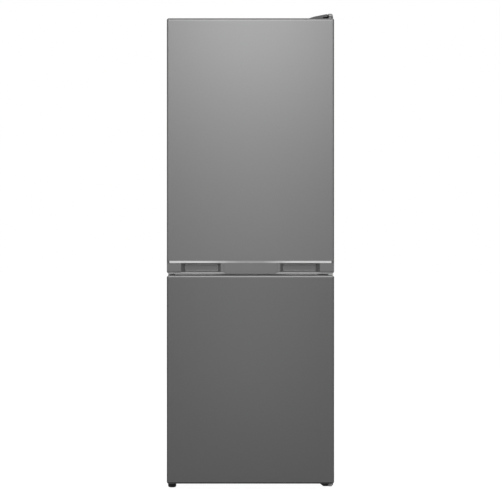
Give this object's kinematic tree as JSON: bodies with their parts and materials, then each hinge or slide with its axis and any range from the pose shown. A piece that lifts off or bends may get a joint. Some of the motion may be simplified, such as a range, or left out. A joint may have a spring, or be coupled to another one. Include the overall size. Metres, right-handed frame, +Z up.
{
  "type": "refrigerator",
  "caption": "Tall free-standing fridge-freezer: fridge door above a freezer door, both hinged on the right, with shelves, drawers, door bins and a rear cooling unit.",
  "frame": {"origin": "on the floor, under the middle of the overall box", "axes": "+Z is up, -Y points out of the door fronts, +X is to the right seen from the front"},
  "size_m": [0.54, 0.595, 1.5415],
  "materials": {
    "silver_paint": "satin metallic",
    "silver_plastic": "satin",
    "galvanised_sheet": "galvanised",
    "hinge_steel": "zinc plated",
    "foam": "rigid foam",
    "liner": "satin, vacuum formed",
    "gasket": "matte",
    "grey_plastic": "satin",
    "black_plastic": "matte",
    "shelf_glass": "clear, toughened",
    "white_plastic": "satin",
    "clear_plastic": "clear",
    "drawer_plastic": "translucent",
    "lamp_plastic": "clear",
    "lamp_glass": "clear",
    "evaporator_tube": "white coated",
    "black_enamel": "black enamel",
    "rubber": "matte",
    "copper": "bare tube"
  },
  "bodies": {
    "cabinet": {"cabinet_wrap": "silver_paint", "rear_panel": "galvanised_sheet", "base_plate": "galvanised_sheet", "centre_rail": "silver_paint", "cabinet_foam": "foam", "fridge_liner": "liner", "freezer_liner": "liner", "top_hinge": "hinge_steel", "top_hinge_cover": "grey_plastic", "middle_hinge": "hinge_steel", "bottom_hinge": "hinge_steel", "bottom_hinge_cover": "black_plastic", "screws": "hinge_steel", "rear_spacers": "black_plastic", "compressor_rail": "galvanised_sheet", "shelf_glass_1": "shelf_glass", "shelf_glass_2": "shelf_glass", "shelf_trim_1": "white_plastic", "shelf_trim_2": "white_plastic", "crisper_cover": "shelf_glass", "crisper_trim": "white_plastic", "control_housing": "white_plastic", "lamp_cover": "lamp_plastic", "lamp": "lamp_glass", "switch_housing": "white_plastic", "lower_evaporator": "evaporator_tube", "upper_evaporator": "evaporator_tube", "compressor": "black_enamel", "starter_box": "black_plastic", "compressor_mounts": "rubber", "evaporation_tray": "black_plastic", "condenser_tube": "black_enamel", "condenser_wires": "black_enamel", "filter_drier": "copper", "refrigerant_pipes": "copper"},
    "fridge_door": {"fridge_door_skin": "silver_paint", "fridge_door_cap": "silver_plastic", "fridge_door_grip": "silver_plastic", "fridge_door_foam": "foam", "fridge_door_liner": "liner", "fridge_door_gasket": "gasket"},
    "freezer_door": {"freezer_door_skin": "silver_paint", "freezer_door_cap": "silver_plastic", "freezer_door_foot_cap": "silver_plastic", "freezer_door_foam": "foam", "freezer_door_liner": "liner", "freezer_door_gasket": "gasket"},
    "left_foot": {"left_foot": "black_plastic"},
    "right_foot": {"right_foot": "black_plastic"},
    "left_roller": {"left_roller": "black_plastic"},
    "right_roller": {"right_roller": "black_plastic"},
    "crisper_drawer": {"crisper_drawer": "clear_plastic"},
    "thermostat_knob": {"thermostat_knob": "white_plastic"},
    "switch_plunger": {"switch_plunger": "white_plastic"},
    "top_drawer": {"top_drawer": "drawer_plastic"},
    "middle_drawer": {"middle_drawer": "drawer_plastic"},
    "bottom_drawer": {"bottom_drawer": "drawer_plastic"},
    "top_bin": {"top_bin": "clear_plastic"},
    "middle_bin": {"middle_bin": "clear_plastic"},
    "bottle_bin": {"bottle_bin": "clear_plastic"}
  },
  "joints": [
    {"name": "fridge_door_swing", "type": "hinge", "parent": "cabinet", "child": "fridge_door", "pos_m": [0.258, -0.2735, 0.7], "axis": [0, 0, 1], "range_deg": [0, 120]},
    {"name": "freezer_door_swing", "type": "hinge", "parent": "cabinet", "child": "freezer_door", "pos_m": [0.258, -0.2735, 0.695], "axis": [0, 0, 1], "range_deg": [0, 120]},
    {"name": "crisper_drawer_slide", "type": "slide", "parent": "cabinet", "child": "crisper_drawer", "axis": [0, -1, 0], "range_m": [0, 0.22]},
    {"name": "top_drawer_slide", "type": "slide", "parent": "cabinet", "child": "top_drawer", "axis": [0, -1, 0], "range_m": [0, 0.1362]},
    {"name": "middle_drawer_slide", "type": "slide", "parent": "cabinet", "child": "middle_drawer", "axis": [0, -1, 0], "range_m": [0, 0.1362]},
    {"name": "bottom_drawer_slide", "type": "slide", "parent": "cabinet", "child": "bottom_drawer", "axis": [0, -1, 0], "range_m": [0, 0.1362]},
    {"name": "switch_plunger_slide", "type": "slide", "parent": "cabinet", "child": "switch_plunger", "axis": [0, -1, 0], "range_m": [0, 0.008]},
    {"name": "thermostat_knob_turn", "type": "hinge", "parent": "cabinet", "child": "thermostat_knob", "pos_m": [0.062, -0.1398, 1.449], "axis": [0, 1, 0], "range_deg": [0, 270]},
    {"name": "top_bin_lift", "type": "slide", "parent": "fridge_door", "child": "top_bin", "axis": [0, 0, 1], "range_m": [0, 0.03]},
    {"name": "middle_bin_lift", "type": "slide", "parent": "fridge_door", "child": "middle_bin", "axis": [0, 0, 1], "range_m": [0, 0.03]},
    {"name": "bottle_bin_lift", "type": "slide", "parent": "fridge_door", "child": "bottle_bin", "axis": [0, 0, 1], "range_m": [0, 0.03]},
    {"name": "left_foot_screw", "type": "slide", "parent": "cabinet", "child": "left_foot", "axis": [0, 0, -1], "range_m": [0, 0.012]},
    {"name": "right_foot_screw", "type": "slide", "parent": "cabinet", "child": "right_foot", "axis": [0, 0, -1], "range_m": [0, 0.012]},
    {"name": "left_roller_spin", "type": "hinge", "parent": "cabinet", "child": "left_roller", "pos_m": [-0.239, 0.225, 0.017], "axis": [1, 0, 0], "continuous": true},
    {"name": "right_roller_spin", "type": "hinge", "parent": "cabinet", "child": "right_roller", "pos_m": [0.239, 0.225, 0.017], "axis": [1, 0, 0], "continuous": true}
  ],
  "couplings": [
    {"joint": "crisper_drawer_slide", "follows": "fridge_door_swing", "m_per_rad": 0.105},
    {"joint": "switch_plunger_slide", "follows": "fridge_door_swing", "m_per_rad": 0.0038},
    {"joint": "top_drawer_slide", "follows": "freezer_door_swing", "m_per_rad": 0.065},
    {"joint": "middle_drawer_slide", "follows": "freezer_door_swing", "m_per_rad": 0.065},
    {"joint": "bottom_drawer_slide", "follows": "freezer_door_swing", "m_per_rad": 0.065}
  ]
}
